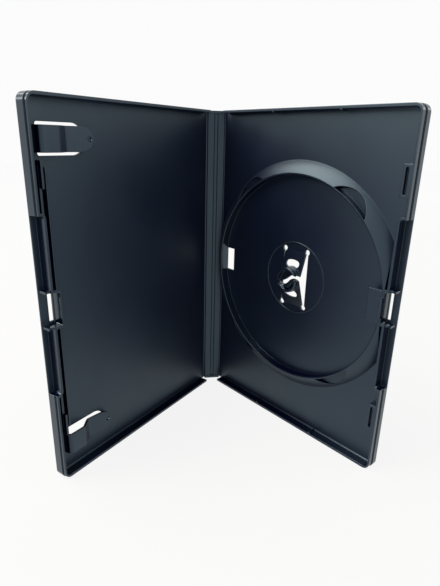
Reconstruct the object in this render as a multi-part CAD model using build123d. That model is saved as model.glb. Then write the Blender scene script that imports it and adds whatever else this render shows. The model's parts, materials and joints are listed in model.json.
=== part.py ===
from build123d import *
import os
from math import atan2, cos, degrees, hypot, radians, sin

# One-disc case, standing open on its lower edge, sizes in mm
case_height = 190.0
case_width = 133.4
case_depth = 14.0
back_hinge_open = 33.0        # degrees, 0 is shut and 90 is flat
front_hinge_open = 42.0       # degrees

# Sheet, walls and rims of both covers
plate_thickness = 1.1
wall_thickness = 1.4
wall_start = 4.0              # top and bottom walls begin this far from the hinge line
corner_radius = 4.0
corner_chamfer = 0.6          # where a wall rises from the plate
edge_chamfer = 0.4            # outer arris of the plate
rim_gap = 0.2                 # between the two rims when the case is shut
band_setback = 0.5            # the rim stands back from the outer band by this
front_band = 5.0              # height of the outer band on the free edge
back_band = 3.5

# Hinge lines moulded along both long edges of the spine
hinge_radius = 0.35
hinge_clearance = 0.08

# Spine
spine_edge = 1.0              # thin margin beside each hinge line
pad_width = 4.55
pad_gap = 1.9
pad_height = 0.8
pad_chamfer = 0.35
end_rib_thickness = 1.5
end_rib_height = 1.3
end_rib_round = 0.9

# Thumb notch in the free edge, with the latch in its middle
notch_length = 89.0
front_notch_depth = 3.0
back_notch_depth = 3.6
notch_round = 1.6
rib_thickness = 1.2
latch_length = 17.0
latch_round = 0.8
cross_wall_drop = 0.6         # cross walls end this much below the rim
cross_wall_dip = 0.8
front_latch_depth = 7.65
front_latch_hole = 2.8
back_latch_depth = 5.85
back_latch_hole = 1.9
latch_hole_length = 14.6
latch_hole_margin = 0.3
catch_length = 11.0
catch_reach = 2.1             # the catch stands this far over the rim
catch_bead = 0.15
catch_bead_height = 0.6
lip_bead = 0.25
lip_bead_height = 1.0

# Locating keys on the front cover and their slots in the back cover
key_length = 12.0
key_thickness = 1.0
key_reach = 1.3               # over the rim
key_setback = 3.6             # from the free edge to the middle of the key
key_height = 157.0
key_clearance = 0.3
key_slot_wall = 1.2
rib_run = 21.5                # the notch rib of the front cover runs on by this
rib_run_height = 6.0
stop_length = 130.0           # second rib behind it, which keeps the booklet off the notch
stop_setback = 6.15           # from the free edge
stop_thickness = 0.8
stop_height = 6.4

# Booklet clips on the front cover
clip_height = 171.5
clip_width = 11.4
clip_thickness = 1.1
clip_setback = 4.4            # from the free edge to the riser
clip_lean = 1.5               # the riser leans in by this
clip_top = 6.4
clip_flat = 11.2
clip_dip_run = 17.0
clip_dip = 2.3
clip_tip_run = 32.0
clip_tip = 4.4
clip_bend = 2.2
clip_tip_round = 7.0
clip_hole_start = 2.7         # from the riser
clip_hole_end = 29.0
clip_hole_margin = 1.4
clip_hole_round = 1.0
clip_dot = 1.2
clip_dot_setback = 2.3

# Disc well of the back cover
hub_setback = 65.5            # from the hinge line to the hub
disc_radius = 60.0
disc_clearance = 0.25
ring_height = 6.5             # a disc lies level with this
ring_draft = 0.15
ring_crest = 1.0
ring_slope = 6.8
ring_bulge = 0.4              # the outer slope swells by this
ring_chamfer = 0.3
ring_wall = 1.2
ring_spine_margin = 3.6       # ring cut flat beside the spine
ring_notch_gap = 1.55         # and beside the notch rib
scoop_angle = 54.0
scoop_setback = 54.2
scoop_radius = 13.8
scoop_taper = 1.6
scoop_floor = 2.6
tab_length = 17.4
tab_thickness = 1.2
tab_reach = 7.8
tab_hole_run = 7.0
edge_hole_margin = 1.5        # shorter than the tab by this at each end
spine_hole_margin = 1.2
nub_width = 1.0               # small upright ribs on the top and bottom walls
nub_reach = 0.8
nub_runs = (46.0, 91.0)       # from the hinge line

# Push hub
seat_radius = 21.4            # thin raised circle round the hub
seat_width = 0.6
seat_rise = 0.4
tongue_width = 15.1
tongue_reach = 17.0           # from the hub's middle to the bend
tongue_thickness = 1.0
tongue_clearance = 0.08
tongue_slot = 1.5
slot_end_radius = 1.6
gap_width = 2.6               # S-shaped gap between the two tongues
gap_swing = 2.4
petal_radius = 7.4
petal_wall = 1.5
petal_foot = 0.3              # shoulder that a disc lies on
petal_neck = 1.5              # room for a disc under the lip
petal_lip = 0.2               # stands over a disc's 15 mm hole by half of this
petal_lip_height = 0.5
petal_crown = 0.5
crescent_width = 3.8
crescent_angle = 36.0         # degrees, to each side of the tongue's middle

# Values that follow from the sizes above
cover_length = case_width - hinge_radius
rim_height = (case_depth - rim_gap) / 2
spine_pitch = case_depth - 2 * hinge_radius
middle = case_height / 2
seat_of_hinge = hinge_radius + hinge_clearance
front_notch = cover_length - front_notch_depth
back_notch = cover_length - back_notch_depth
ring_inner = disc_radius + disc_clearance
ring_crown = ring_inner + ring_draft + ring_crest
ring_foot = ring_crown + ring_slope
tongue_seat = tongue_thickness / 2 + tongue_clearance
tongue_tilt = degrees(atan2(ring_height - plate_thickness, tongue_reach))
mid_plane = Plane(origin=(0, middle, 0), x_dir=(1, 0, 0), z_dir=(0, 1, 0))
hub_place = Pos(hub_setback, middle, 0)
scoop_angles = (scoop_angle, 180 - scoop_angle, 180 + scoop_angle, -scoop_angle)
bend_place = Pos(hub_setback, middle + tongue_reach, plate_thickness / 2)

# Every cover is drawn lying on its outer face: X runs from the hinge line to the
# free edge, Y runs up the case and Z is the depth, so the inside looks up.


def slab(x0, x1, y0, y1, z0, z1):
    size = (x1 - x0, y1 - y0, z1 - z0)
    return Pos(x0, y0, z0) * Box(*size, align=(Align.MIN, Align.MIN, Align.MIN))


def panel(x0, x1, y0, y1):
    return Pos((x0 + x1) / 2, (y0 + y1) / 2) * Rectangle(x1 - x0, y1 - y0)


def run_up(section, start, length):
    # A section drawn with x across the cover and y as depth, run along the height
    plane = Plane(origin=(0, start, 0), x_dir=(1, 0, 0), z_dir=(0, -1, 0))
    return extrude(plane * section, -length)


def turned(section):
    # A section drawn with x as radius and y as depth, turned about the hub's axis
    return hub_place * revolve(Plane.XZ * section, Axis.Z)


def both_halves(solid):
    return solid + mirror(solid, about=mid_plane)


def cover_outline(start, inset):
    outline = panel(start, cover_length - inset, inset, case_height - inset)
    corners = outline.vertices().group_by(Axis.X)[-1]
    return fillet(corners, corner_radius - inset)


def notch_outline(notch_floor, latch_depth):
    notch = panel(notch_floor, cover_length + corner_radius,
                  middle - notch_length / 2, middle + notch_length / 2)
    notch = fillet(notch.vertices().group_by(Axis.X)[0], notch_round)
    latch = panel(cover_length - latch_depth, cover_length + corner_radius,
                  middle - latch_length / 2, middle + latch_length / 2)
    latch = fillet(latch.vertices().group_by(Axis.X)[0], latch_round)
    return notch + latch


def cross_wall(notch_floor):
    # Wall beside the latch, with a dipped top edge
    inner = notch_floor - rib_thickness / 2
    outer = cover_length - edge_chamfer
    top = rim_height - cross_wall_drop
    dip = ((inner + outer) / 2, top - cross_wall_dip)
    edge = ThreePointArc((inner, top), dip, (outer, top))
    sides = Polyline((outer, top), (outer, plate_thickness / 2), (inner, plate_thickness / 2), (inner, top))
    start = middle + latch_length / 2
    return run_up(make_face(edge + sides), start, rib_thickness)


def cover_shell(notch_floor, latch_depth, latch_hole, band):
    outline = cover_outline(0, 0)
    walls = cover_outline(wall_start, 0) - cover_outline(wall_start - wall_thickness, wall_thickness)
    shell = extrude(outline, plate_thickness) + extrude(walls, rim_height)
    junction = shell.edges().filter_by_position(Axis.Z, plate_thickness, plate_thickness)
    junction = [edge for edge in junction if edge.center().X > wall_start and edge.length > wall_thickness * 1.5]
    shell = chamfer(junction, corner_chamfer)
    arris = shell.edges().filter_by_position(Axis.Z, 0, 0).sort_by(Axis.X)[1:]
    shell = chamfer(arris, edge_chamfer)

    step = outline - Pos(-band_setback, 0) * outline
    shell -= Pos(0, 0, band) * extrude(step, rim_height)

    notch = notch_outline(notch_floor, latch_depth)
    notch_wall = offset(notch, rib_thickness) & cover_outline(wall_start, wall_thickness / 2)
    shell += extrude(notch_wall, rim_height)
    shell -= Pos(0, 0, plate_thickness) * extrude(notch, case_depth)
    shell += both_halves(cross_wall(notch_floor))

    hole_start = cover_length - latch_depth + latch_hole_margin
    hole = panel(hole_start, hole_start + latch_hole,
                 middle - latch_hole_length / 2, middle + latch_hole_length / 2)
    shell -= extrude(hole, plate_thickness)

    # Round seat for the hinge line, open towards the inside so that the spine can shut
    seat = Pos(0, 0, hinge_radius) * Rot(-90, 0, 0) * Cylinder(
        seat_of_hinge, case_height, align=(Align.CENTER, Align.CENTER, Align.MIN))
    shell -= seat
    shell -= slab(-seat_of_hinge, seat_of_hinge, 0, case_height, hinge_radius, plate_thickness)
    return shell


def booklet_clip():
    # Sprung arm: up from the plate, level, down to the booklet and up again at the tip
    riser = cover_length - clip_setback
    half = clip_thickness / 2
    middle_line = FilletPolyline(
        (riser - half, plate_thickness / 2),
        (riser - half - clip_lean, clip_top - half),
        (riser - clip_flat, clip_top - half),
        (riser - clip_dip_run, clip_dip - half),
        (riser - clip_tip_run, clip_tip - half),
        radius=clip_bend)
    arm = run_up(trace(middle_line, clip_thickness), clip_height - clip_width / 2, clip_width)
    tip = riser - clip_tip_run
    plan = panel(tip + clip_tip_round, cover_length, clip_height - clip_width / 2, clip_height + clip_width / 2)
    plan += Pos(tip + clip_tip_round, clip_height) * Ellipse(clip_tip_round, clip_width / 2)
    arm &= extrude(plan, case_depth)
    dot = Pos(tip + clip_dot_setback, clip_height, 0) * Cylinder(clip_dot, 2 * case_depth)
    return arm - dot


def clip_hole():
    # Opening in the plate under the arm, as far as the dot near its tip
    end = cover_length - clip_setback - clip_hole_start
    round_start = cover_length - clip_setback - clip_hole_end + clip_tip_round
    half = clip_width / 2 + clip_hole_margin
    hole = panel(round_start, end, clip_height - half, clip_height + half)
    hole = fillet(hole.vertices().group_by(Axis.X)[-1], clip_hole_round)
    hole += Pos(round_start, clip_height) * Ellipse(clip_tip_round, half)
    return extrude(hole, plate_thickness)


def locating_key():
    plan = Pos(cover_length - key_setback, key_height) * SlotOverall(key_length, key_thickness, rotation=90)
    return extrude(plan, rim_height + key_reach)


def notch_rib_run():
    # The notch rib of the front cover carries on past the end of the notch
    start = middle + notch_length / 2
    plan = panel(front_notch - rib_thickness, front_notch, start - notch_round, start + rib_run)
    plan = fillet(plan.vertices().group_by(Axis.Y)[-1], rib_thickness * 0.45)
    return extrude(plan, rib_run_height)


def booklet_stop():
    # Second rib behind the notch rib, broken by the latch
    outer = cover_length - stop_setback
    plan = panel(outer - stop_thickness, outer, middle - stop_length / 2, middle + stop_length / 2)
    plan = fillet(plan.vertices(), stop_thickness * 0.45)
    return extrude(plan - notch_outline(front_notch, front_latch_depth), stop_height)


def key_slot_block():
    outer = cover_length - wall_thickness / 2
    inner = cover_length - key_setback - key_thickness / 2 - key_clearance - key_slot_wall
    half = key_length / 2 + key_clearance + key_slot_wall
    plan = panel(inner, outer, key_height - half, key_height + half)
    plan = fillet(plan.vertices().group_by(Axis.X)[0], key_slot_wall * 0.5)
    return extrude(plan, rim_height)


def key_slot():
    plan = Pos(cover_length - key_setback, key_height) * SlotOverall(
        key_length + 2 * key_clearance, key_thickness + 2 * key_clearance, rotation=90)
    depth = key_reach + rim_gap + key_clearance
    return Pos(0, 0, rim_height - depth) * extrude(plan, case_depth)


def make_front_cover():
    cover = cover_shell(front_notch, front_latch_depth, front_latch_hole, front_band)
    cover += both_halves(notch_rib_run())
    cover += booklet_stop()
    cover += both_halves(locating_key())
    cover -= both_halves(clip_hole())
    cover += both_halves(booklet_clip())
    # Lip on the latch wall that holds the catch of the other cover
    face = cover_length - front_latch_depth
    lip = make_face(Polyline((face - lip_bead, rim_height), (face, rim_height),
                             (face + lip_bead, rim_height - lip_bead_height / 2),
                             (face, rim_height - lip_bead_height),
                             (face - lip_bead, rim_height - lip_bead_height), close=True))
    cover += run_up(lip, middle - catch_length / 2, catch_length)
    return cover


def latch_catch():
    # Upright tongue on the latch wall of the back cover, with a bead along its top
    outer = cover_length - back_latch_depth
    inner = outer - rib_thickness
    top = rim_height + catch_reach
    face = make_face(Polyline((outer, plate_thickness / 2), (outer, top - catch_bead_height),
                              (inner + rib_thickness / 2, top), (inner, top),
                              (inner - catch_bead, top - catch_bead_height / 2),
                              (inner, top - catch_bead_height), (inner, plate_thickness / 2), close=True))
    return run_up(face, middle - catch_length / 2, catch_length)


def ring_limits(margin, height):
    # The ring is cut flat beside the spine and beside the notch
    return slab(ring_spine_margin + margin, back_notch - rib_thickness - ring_notch_gap - margin,
                0, case_height, -case_depth, height)


def disc_ring():
    # Upright rim round the disc, and outside it a swelling bank that the scoops dip into
    rise = ring_height - plate_thickness
    swell = Vector(rise, ring_slope).normalized() * ring_bulge
    half_way = ((ring_crown + ring_foot) / 2 + swell.X, (ring_height + plate_thickness) / 2 + swell.Y)
    slope = ThreePointArc((ring_crown, ring_height), half_way, (ring_foot, plate_thickness))
    rest = Polyline((ring_foot, plate_thickness), (ring_foot, 0), (ring_crown, 0), (ring_crown, ring_height))
    bank = turned(make_face(slope + rest)) & ring_limits(0, ring_height)
    for angle in scoop_angles:
        bank -= finger_scoop(angle)
    lean = ring_inner + ring_draft
    rim = make_face(Polyline((ring_inner, 0), (lean, ring_height - ring_chamfer), (lean + ring_chamfer, ring_height),
                             (ring_crown, ring_height), (ring_crown, 0), close=True))
    return bank + (turned(rim) & ring_limits(0, ring_height))


def ring_groove():
    # Hollow under the ring, one wall in from its inner face and from its slope, solid by the tabs and scoops
    rise = ring_height - plate_thickness
    lead = ring_slope / rise
    inner = ring_inner + ring_draft + ring_wall
    back = ring_wall * hypot(ring_slope, rise) / rise
    top = ring_height - (inner - ring_crown + back) / lead
    foot = ring_crown + ring_height * lead - back
    section = make_face(Polyline((inner, 0), (inner, top), (foot, 0), close=True))
    groove = turned(section) & ring_limits(ring_wall, ring_height)
    half = tab_length / 2 + ring_wall
    groove -= slab(0, cover_length, middle - half, middle + half, 0, ring_height)
    for angle in scoop_angles:
        place = hub_place * Rot(0, 0, angle) * Pos(scoop_setback, 0, 0)
        groove -= place * Cylinder(scoop_radius + ring_wall, 2 * case_depth)
    return groove


def finger_scoop(angle):
    depth = ring_height - scoop_floor
    place = hub_place * Rot(0, 0, angle) * Pos(scoop_setback, 0, scoop_floor)
    return place * Cone(scoop_radius - scoop_taper, scoop_radius + scoop_taper, 2 * depth,
                        align=(Align.CENTER, Align.CENTER, Align.MIN))


def rim_tab():
    # Ledge under the disc's rim, by the free edge
    root = hub_setback + ring_inner + ring_crest / 2
    tip = hub_setback + ring_inner + ring_draft - tab_reach
    plan = panel(tip, root, middle - tab_length / 2, middle + tab_length / 2)
    return Pos(0, 0, ring_height - tab_thickness) * extrude(plan, tab_thickness)


def tab_hole(side, margin):
    # Opening in the plate beside the ring, side is -1 by the spine and 1 by the free edge
    root = hub_setback + side * ring_inner
    tip = root - side * tab_hole_run
    half = tab_length / 2 - margin
    hole = panel(min(root, tip), max(root, tip), middle - half, middle + half)
    return extrude(hole, plate_thickness)


def wall_nub(run):
    inner = case_height - wall_thickness
    return slab(run - nub_width / 2, run + nub_width / 2, inner - nub_reach, inner + wall_thickness / 2,
                plate_thickness / 2, rim_height)


def hub_seat():
    inner = seat_radius - seat_width / 2
    return turned(Pos(inner, plate_thickness / 2) * Rectangle(
        seat_width, plate_thickness / 2 + seat_rise, align=(Align.MIN, Align.MIN)))


def slot_ends():
    # Round holes at the four ends of the slots, which bite into the tongues' roots
    across = (tongue_width + tongue_slot) / 2
    hole = Cylinder(slot_end_radius, 2 * plate_thickness)
    return [hub_place * Pos(x, y, plate_thickness / 2) * hole
            for x in (-across, across) for y in (-tongue_reach, tongue_reach)]


def hub_cut():
    # Slots on both sides of the tongues and the gap between them, with a round seat at each bend
    half = tongue_width / 2 + tongue_slot
    plan = panel(hub_setback - half, hub_setback + half, middle - tongue_reach, middle + tongue_reach)
    seat = bend_place * Rot(0, 90, 0) * Cylinder(tongue_seat, tongue_width + 2 * tongue_clearance)
    return extrude(plan, case_depth) + both_halves(seat) + slot_ends()


def make_back_cover():
    cover = cover_shell(back_notch, back_latch_depth, back_latch_hole, back_band)
    cover += disc_ring()
    cover -= ring_groove()
    cover += rim_tab()
    cover -= tab_hole(-1, spine_hole_margin) + tab_hole(1, edge_hole_margin)
    cover += hub_seat()
    cover -= hub_cut()
    cover += both_halves(key_slot_block())
    cover -= both_halves(key_slot())
    cover += latch_catch()
    for run in nub_runs:
        cover += both_halves(wall_nub(run))
    return cover


def tongue_plan():
    # Outline of the upper tongue, its lower edge follows the S-shaped gap
    half = tongue_width / 2
    edge = Pos(0, gap_width / 2) * Spline(
        (-half, -gap_swing * 0.65), (-half * 0.42, -gap_swing), (0, 0), (half * 0.42, gap_swing), (half, gap_swing * 0.65))
    top = tongue_reach + tongue_thickness
    sides = Polyline(edge @ 1, (half, top), (-half, top), edge @ 0)
    return hub_place * make_face(edge + sides)


def make_hub_tongue():
    # Sprung tongue above the hub's middle, rising from its bend to carry half of the disc button
    bend = bend_place * Rot(-tongue_tilt, 0, 0)
    length = (tongue_reach + gap_swing) / cos(radians(tongue_tilt))
    outline = extrude(tongue_plan(), case_depth)
    tongue = bend * Box(tongue_width, length, tongue_thickness, align=(Align.CENTER, Align.MAX, Align.CENTER))
    tongue += bend_place * Rot(0, 90, 0) * Cylinder(tongue_thickness / 2, tongue_width)
    tongue &= outline
    # Opening behind the button, which lets its lip give way
    foot = petal_radius + petal_foot
    opening = CenterArc((0, 0), foot + crescent_width / 2, 90 - crescent_angle / 2, crescent_angle)
    tongue -= hub_place * extrude(SlotArc(opening, crescent_width), case_depth)
    tongue -= slot_ends()
    # Half of the button: a shoulder, a neck for the disc, a lip and a crown
    inner = petal_radius - petal_wall
    lip_low = ring_height + petal_neck
    lip_top = lip_low + petal_lip + petal_lip_height
    wall = make_face(Polyline((inner, 0), (foot, 0), (foot, ring_height), (petal_radius, ring_height),
                              (petal_radius, lip_low), (petal_radius + petal_lip, lip_low + petal_lip),
                              (petal_radius + petal_lip, lip_top), (petal_radius - petal_crown, lip_top + petal_crown),
                              (inner, lip_top + petal_crown), close=True))
    above = bend * Box(tongue_width, length, case_depth, align=(Align.CENTER, Align.MAX, Align.MIN))
    tongue += turned(wall) & outline & above
    return tongue


def make_spine():
    # Section across the spine: x from hinge line to hinge line, y inwards
    thin = 2 * hinge_radius
    strip = Pos(spine_pitch / 2, hinge_radius) * SlotCenterToCenter(spine_pitch, thin)
    lift = plate_thickness - thin
    core = make_face(Polyline((spine_edge, 0), (spine_edge, thin), (spine_edge + lift, plate_thickness),
                              (spine_pitch - spine_edge - lift, plate_thickness),
                              (spine_pitch - spine_edge, thin), (spine_pitch - spine_edge, 0), close=True))
    section = strip + core
    spine = run_up(section, 0, case_height)
    pad_top = plate_thickness + pad_height
    for side in (-1, 1):
        centre = spine_pitch / 2 + side * (pad_gap + pad_width) / 2
        pad = panel(centre - pad_width / 2, centre + pad_width / 2, hinge_radius, pad_top)
        pad = chamfer(pad.vertices().group_by(Axis.Y)[-1], pad_chamfer)
        spine += run_up(pad, end_rib_thickness / 2, case_height - end_rib_thickness)
    rib_top = plate_thickness + end_rib_height
    rib = panel(spine_edge, spine_pitch - spine_edge, hinge_radius, rib_top)
    rib = fillet(rib.vertices().group_by(Axis.Y)[-1], end_rib_round)
    spine += both_halves(run_up(rib, 0, end_rib_thickness))
    return spine


# Stand the pieces up in the open pose: the back cover lies along X with its inside
# towards -Y, the spine turns about its hinge line and the front cover about the next.
whole_turn = back_hinge_open + front_hinge_open
spine_heading = Vector(-sin(radians(back_hinge_open)), -cos(radians(back_hinge_open)), 0)
on_hinge = Pos(0, 0, -hinge_radius)
faces_back = Rot(90, 0, 0) * on_hinge
faces_front = Pos(0, 0, case_height) * Rot(-90, 0, 0) * on_hinge
front_hinge = spine_heading * spine_pitch

back_cover = faces_back * make_back_cover()
hub_tongue = make_hub_tongue()
hub_tongue_upper = faces_back * hub_tongue
hub_tongue_lower = faces_back * hub_tongue.rotate(Axis((hub_setback, middle, 0), (0, 0, 1)), 180)
spine = Rot(0, 0, -90 - back_hinge_open) * faces_front * make_spine()
front_cover = Pos(front_hinge) * Rot(0, 0, -whole_turn) * faces_front * make_front_cover()

pieces = {
    "back_cover": back_cover,
    "hub_tongue_upper": hub_tongue_upper,
    "hub_tongue_lower": hub_tongue_lower,
    "spine": spine,
    "front_cover": front_cover,
}

# The origin is under the middle of the open case, at the height it stands on
boxes = [piece.bounding_box() for piece in pieces.values()]
middle_x = (min(box.min.X for box in boxes) + max(box.max.X for box in boxes)) / 2
middle_y = (min(box.min.Y for box in boxes) + max(box.max.Y for box in boxes)) / 2
to_origin = Pos(-middle_x, -middle_y, -min(box.min.Z for box in boxes))

os.makedirs("parts", exist_ok=True)
for name, piece in pieces.items():
    export_step(to_origin * piece, os.path.join("parts", name + ".step"))
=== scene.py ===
import json
import math

import bpy
from mathutils import Matrix, Vector


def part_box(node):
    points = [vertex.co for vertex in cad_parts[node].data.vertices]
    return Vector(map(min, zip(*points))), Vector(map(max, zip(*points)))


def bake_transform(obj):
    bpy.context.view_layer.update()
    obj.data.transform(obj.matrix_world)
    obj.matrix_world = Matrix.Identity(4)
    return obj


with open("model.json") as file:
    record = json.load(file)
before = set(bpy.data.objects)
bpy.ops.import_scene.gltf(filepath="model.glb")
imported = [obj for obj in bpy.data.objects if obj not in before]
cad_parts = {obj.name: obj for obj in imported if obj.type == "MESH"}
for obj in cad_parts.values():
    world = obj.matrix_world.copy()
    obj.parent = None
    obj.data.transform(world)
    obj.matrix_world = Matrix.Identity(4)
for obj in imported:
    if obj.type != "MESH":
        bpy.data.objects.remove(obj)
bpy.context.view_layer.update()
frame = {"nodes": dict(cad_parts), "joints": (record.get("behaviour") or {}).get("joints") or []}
nodes = frame["nodes"]
joints = {joint["name"]: joint for joint in frame["joints"]}
print("frame:", ", ".join(sorted(nodes)))


def clearPick():
    bpy.ops.object.select_all(action="DESELECT")


# degrees that the two hinges stand open from shut, and which way the flat of each piece faces
stance = {"backOpen": 33, "frontOpen": 42}
upright = Vector((0, 0, 1))
alongBack = Vector((1, 0, 0))
alongSpine = Matrix.Rotation(-math.radians(90 + stance["backOpen"]), 3, "Z") @ alongBack
alongFront = Matrix.Rotation(-math.radians(stance["backOpen"] + stance["frontOpen"]), 3, "Z") @ alongBack
facing = {
    "back_cover": alongBack.cross(upright),
    "hub_tongue_upper": alongBack.cross(upright),
    "hub_tongue_lower": alongBack.cross(upright),
    "spine": upright.cross(alongSpine),
    "front_cover": upright.cross(alongFront),
}


# node helpers for the materials and the light
def noise(tree, pattern):
    # pattern is the scale per metre and the detail
    coord = tree.nodes.new("ShaderNodeTexCoord")
    node = tree.nodes.new("ShaderNodeTexNoise")
    node.inputs["Scale"].default_value, node.inputs["Detail"].default_value = pattern
    tree.links.new(coord.outputs["Object"], node.inputs["Vector"])
    return node.outputs["Fac"]


def remap(tree, value, ends, levels, way="LINEAR"):
    node = tree.nodes.new("ShaderNodeMapRange")
    node.interpolation_type = way
    node.inputs["From Min"].default_value, node.inputs["From Max"].default_value = ends
    node.inputs["To Min"].default_value, node.inputs["To Max"].default_value = levels
    tree.links.new(value, node.inputs["Value"])
    return node.outputs["Result"]


def combine(tree, action, *values):
    node = tree.nodes.new("ShaderNodeMath")
    node.operation = action
    for value, socket in zip(values, node.inputs):
        tree.links.new(value, socket)
    return node.outputs["Value"]


def dent(tree, height, strength, depth, normal):
    node = tree.nodes.new("ShaderNodeBump")
    node.inputs["Strength"].default_value = strength
    node.inputs["Distance"].default_value = depth
    tree.links.new(height, node.inputs["Height"])
    tree.links.new(normal, node.inputs["Normal"])
    return node.outputs["Normal"]


# black polypropylene, satin on the flats and polished on the walls, lengths in metres
plasticLook = {
    "dark": (0.0003, 0.0008, 0.0122, 1),
    "light": (0.0006, 0.0015, 0.0160, 1),
    "worn": (0.036, 0.044, 0.058, 1),
    "sheen": (0.65, 0.90, 1.0, 1),
    "shine": 0.80,              # specular level
    "ior": 1.5,
    "wallRough": 0.17,
    "wallToFlat": (0.25, 0.8),  # how far a face looks the flat's way, from a wall to a flat
    "cloud": (16, 4),           # slow drift of the colour: scale per metre, detail
    "cloudEnds": (0.35, 0.68),
    "drift": (40, 3),           # slow drift of the gloss
    "driftEnds": (0.3, 0.7),
    "driftGloss": (0.95, 1.06),
    "scuff": (260, 5),
    "edge": 0.00045,            # corner radius that catches light
    "edgeSamples": 6,
    "edgeEnds": (0.995, 0.86),  # agreement of the rounded and the flat normal, from unworn to worn
    "ripple": (160, 1),         # waviness of a thin wall
    "rippleStrength": 0.25,
    "rippleDepth": 0.00004,
    "grain": (2300, 2),         # spark-eroded mould texture
    "grainStrength": 0.5,
}
# roughness of the flat, depth of its grain and wear of its corners
hubFinish = {"rough": 0.34, "grainDepth": 0.000006, "wear": 0.8}
finishes = {
    "front_cover": {"rough": 0.50, "grainDepth": 0.000012, "wear": 0.6},
    "back_cover": {"rough": 0.42, "grainDepth": 0.000012, "wear": 0.6},
    "spine": {"rough": 0.42, "grainDepth": 0.000012, "wear": 0.6},
    "hub_tongue_upper": hubFinish,
    "hub_tongue_lower": hubFinish,
}


def plastic(name, flatWay, finish):
    mat = bpy.data.materials.new(name)
    mat.use_nodes = True
    tree = mat.node_tree
    add, link = tree.nodes.new, tree.links.new
    shader = tree.nodes["Principled BSDF"]
    shader.inputs["IOR"].default_value = plasticLook["ior"]
    shader.inputs["Specular IOR Level"].default_value = plasticLook["shine"]
    shader.inputs["Specular Tint"].default_value = plasticLook["sheen"]

    tone = add("ShaderNodeValToRGB")
    darkStop, lightStop = tone.color_ramp.elements
    darkStop.position, lightStop.position = plasticLook["cloudEnds"]
    darkStop.color = plasticLook["dark"]
    lightStop.color = plasticLook["light"]
    link(noise(tree, plasticLook["cloud"]), tone.inputs["Fac"])

    # rubbed corners, found where the rounded normal leaves the flat one
    soft = add("ShaderNodeBevel")
    soft.samples = plasticLook["edgeSamples"]
    soft.inputs["Radius"].default_value = plasticLook["edge"]
    flat = add("ShaderNodeNewGeometry")
    apart = add("ShaderNodeVectorMath")
    apart.operation = "DOT_PRODUCT"
    link(soft.outputs["Normal"], apart.inputs[0])
    link(flat.outputs["Normal"], apart.inputs[1])
    rim = remap(tree, apart.outputs["Value"], plasticLook["edgeEnds"], (0, finish["wear"]))
    paint = add("ShaderNodeMixRGB")
    paint.inputs["Color2"].default_value = plasticLook["worn"]
    link(combine(tree, "MULTIPLY", rim, noise(tree, plasticLook["scuff"])), paint.inputs["Fac"])
    link(tone.outputs["Color"], paint.inputs["Color1"])
    link(paint.outputs["Color"], shader.inputs["Base Color"])

    # satin where the face looks the flat's way, polished on the walls, with a little drift
    coord = add("ShaderNodeTexCoord")
    turned = add("ShaderNodeVectorMath")
    turned.operation = "DOT_PRODUCT"
    turned.inputs[1].default_value = flatWay
    link(coord.outputs["Normal"], turned.inputs[0])
    level = combine(tree, "ABSOLUTE", turned.outputs["Value"])
    satin = remap(tree, level, plasticLook["wallToFlat"],
                  (plasticLook["wallRough"], finish["rough"]), "SMOOTHSTEP")
    sway = remap(tree, noise(tree, plasticLook["drift"]),
                 plasticLook["driftEnds"], plasticLook["driftGloss"])
    link(combine(tree, "MULTIPLY", satin, sway), shader.inputs["Roughness"])

    wave = dent(tree, noise(tree, plasticLook["ripple"]), plasticLook["rippleStrength"],
                plasticLook["rippleDepth"], soft.outputs["Normal"])
    grain = dent(tree, noise(tree, plasticLook["grain"]), plasticLook["grainStrength"],
                 finish["grainDepth"], wave)
    link(grain, shader.inputs["Normal"])
    return mat


for name, node in nodes.items():
    node.data.materials.clear()
    node.data.materials.append(plastic(name + "Plastic", facing[name], finishes[name]))
print("materials on", len(nodes), "nodes")

# thin webs of the two living hinges, on the outer side, lengths in metres
hingeWeb = {
    "radius": 0.00038,
    "reach": 0.0009,    # flat part on each wall
    "taper": 0.0004,    # edge beyond it, sloped down to the wall
    "thick": 0.00009,
    "low": 0.0006,      # gap above the floor and under the top
    "steps": 10,
    "smooth": 35,       # degrees
    "finish": {"rough": 0.30, "grainDepth": 0.000004, "wear": 0.3},
}
hingeSkin = plastic("hingePlastic", facing["spine"], hingeWeb["finish"])


def makeWeb(name, joint, first, second):
    # first and second run away from the hinge line along the two walls, level with the floor
    axis = Vector(joint["pos_m"])
    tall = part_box("spine")[1].z - 2 * hingeWeb["low"]
    outA = Vector((-first.y, first.x, 0))
    outB = Vector((second.y, -second.x, 0))
    turn = outA.angle(outB)
    flush = hingeWeb["radius"] - hingeWeb["thick"]
    line = [first * (hingeWeb["reach"] + hingeWeb["taper"]) + outA * flush,
            first * hingeWeb["reach"] + outA * hingeWeb["radius"]]
    for i in range(hingeWeb["steps"] + 1):
        line.append(Matrix.Rotation(turn * i / hingeWeb["steps"], 3, "Z") @ outA * hingeWeb["radius"])
    line += [second * hingeWeb["reach"] + outB * hingeWeb["radius"],
             second * (hingeWeb["reach"] + hingeWeb["taper"]) + outB * flush]
    clearPick()
    bpy.ops.curve.primitive_nurbs_path_add(location=(axis.x, axis.y, hingeWeb["low"] + tall / 2))
    web = bpy.context.object
    web.name = name
    web.data.splines.clear()
    spline = web.data.splines.new("POLY")
    spline.points.add(len(line) - 1)
    for point, place in zip(spline.points, line):
        point.co = (place.x, place.y, 0, 1)
    web.data.dimensions = "2D"
    web.data.fill_mode = "NONE"
    web.data.extrude = tall / 2
    bpy.ops.object.convert(target="MESH")
    solid = web.modifiers.new("skin", "SOLIDIFY")
    solid.thickness = hingeWeb["thick"]
    solid.offset = -1
    bpy.ops.object.modifier_apply(modifier="skin")
    bpy.ops.object.shade_smooth_by_angle(angle=math.radians(hingeWeb["smooth"]))
    bpy.ops.object.transform_apply(location=True, rotation=True, scale=True)
    web.data.materials.clear()
    web.data.materials.append(hingeSkin)
    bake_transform(web)


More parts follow.
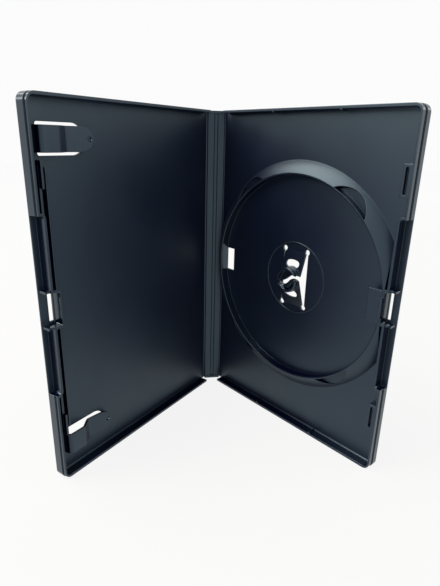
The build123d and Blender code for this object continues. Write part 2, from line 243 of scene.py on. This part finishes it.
makeWeb("hingeWebBack", joints["back_hinge"], alongBack, alongSpine)
makeWeb("hingeWebFront", joints["front_hinge"], -alongSpine, alongFront)
print("hinge webs done")

# pale floor and walls, nearly shadowless as in a light tent
tentLook = {
    "floorSize": 6,
    "near": (0.3, 0.875),       # distance from the case in metres, and how bright the floor looks there
    "far": (1.5, 0.935),
    "albedo": (0.07, 0.07, 0.07, 1),
    "floorLights": 0.45,        # share of it that falls on the object
    "wallColor": (1, 1, 1, 1),
    "wallSeen": 0.97,
    "wallLights": 0.35,
}


def seenLevel(tree, seen, unseen):
    # one strength for what the camera, the gloss and clear parts see, another for plain lighting
    path = tree.nodes.new("ShaderNodeLightPath")
    either = path.outputs["Is Camera Ray"]
    for ray in ("Is Glossy Ray", "Is Transmission Ray"):
        either = combine(tree, "MAXIMUM", either, path.outputs[ray])
    return remap(tree, either, (0, 1), (unseen, seen))


clearPick()
bpy.ops.mesh.primitive_plane_add(size=tentLook["floorSize"], location=(0, 0, 0))
floor = bpy.context.object
floor.name = "floor"
floorMat = bpy.data.materials.new("paleFloor")
floorMat.use_nodes = True
tree = floorMat.node_tree
tree.nodes.remove(tree.nodes["Principled BSDF"])
coord = tree.nodes.new("ShaderNodeTexCoord")
away = tree.nodes.new("ShaderNodeVectorMath")
away.operation = "LENGTH"
tree.links.new(coord.outputs["Object"], away.inputs[0])
distances, levels = zip(tentLook["near"], tentLook["far"])
fade = remap(tree, away.outputs["Value"], distances, levels)
glow = tree.nodes.new("ShaderNodeEmission")
shown = combine(tree, "MULTIPLY", fade, seenLevel(tree, 1, tentLook["floorLights"]))
tree.links.new(shown, glow.inputs["Strength"])
chalk = tree.nodes.new("ShaderNodeBsdfDiffuse")
chalk.inputs["Color"].default_value = tentLook["albedo"]
both = tree.nodes.new("ShaderNodeAddShader")
tree.links.new(glow.outputs["Emission"], both.inputs[0])
tree.links.new(chalk.outputs["BSDF"], both.inputs[1])
tree.links.new(both.outputs["Shader"], tree.nodes["Material Output"].inputs["Surface"])
floor.data.materials.append(floorMat)

world = bpy.data.worlds.new("tent")
bpy.context.scene.world = world
world.use_nodes = True
tree = world.node_tree
back = tree.nodes["Background"]
back.inputs["Color"].default_value = tentLook["wallColor"]
tree.links.new(seenLevel(tree, tentLook["wallSeen"], tentLook["wallLights"]), back.inputs["Strength"])

# soft boxes: the side they stand on, seen from the case, their power in watts and their width
boxLook = {"aim": (0, 0, 0.1), "away": 1.1, "color": (1.0, 0.93, 0.86)}
softBoxes = {
    "frontLeftBox": ((-0.45, -0.75, 0.48), 4.8, 0.5),
    "topBox": ((-0.35, -0.35, 0.87), 14.5, 0.9),
    "rightBox": ((0.70, 0.68, 0.22), 1.3, 0.5),
    "backRightBox": ((0.42, 0.74, 0.52), 1.5, 0.5),
}
for name, (way, power, width) in softBoxes.items():
    way = Vector(way).normalized()
    clearPick()
    bpy.ops.object.light_add(type="AREA", location=Vector(boxLook["aim"]) + way * boxLook["away"])
    lamp = bpy.context.object
    lamp.name = name
    lamp.data.size = width
    lamp.data.color = boxLook["color"]
    lamp.data.energy = power
    lamp.rotation_euler = way.to_track_quat("Z", "Y").to_euler()
    lamp.visible_camera = False
print("floor and light done")

# the photograph's camera, its focal length in the photograph's pixels
photoView = {
    "eye": (0.169750, -0.138973, 0.17304),
    "ahead": (-0.7080, 0.6294, -0.3204),
    "roll": -1.377,     # degrees
    "focal": 454.78,
    "tall": 586,
    "sensor": 36,
    "clipStart": 0.01,
}
ahead = Vector(photoView["ahead"]).normalized()
side = ahead.cross(upright).normalized()
up = side.cross(ahead)
roll = math.radians(photoView["roll"])
camRight = side * math.cos(roll) - up * math.sin(roll)
camUp = camRight.cross(ahead)
camData = bpy.data.cameras.new("photoCamera")
camData.sensor_width = photoView["sensor"]
camData.lens = photoView["focal"] / photoView["tall"] * photoView["sensor"]
camData.clip_start = photoView["clipStart"]
cam = bpy.data.objects.new("photoCamera", camData)
bpy.context.scene.collection.objects.link(cam)
cam.matrix_world = Matrix((camRight, camUp, -ahead)).transposed().to_4x4()
cam.location = photoView["eye"]
bpy.context.scene.camera = cam
bpy.context.scene.view_settings.view_transform = "Standard"
print("camera done")

clearPick()
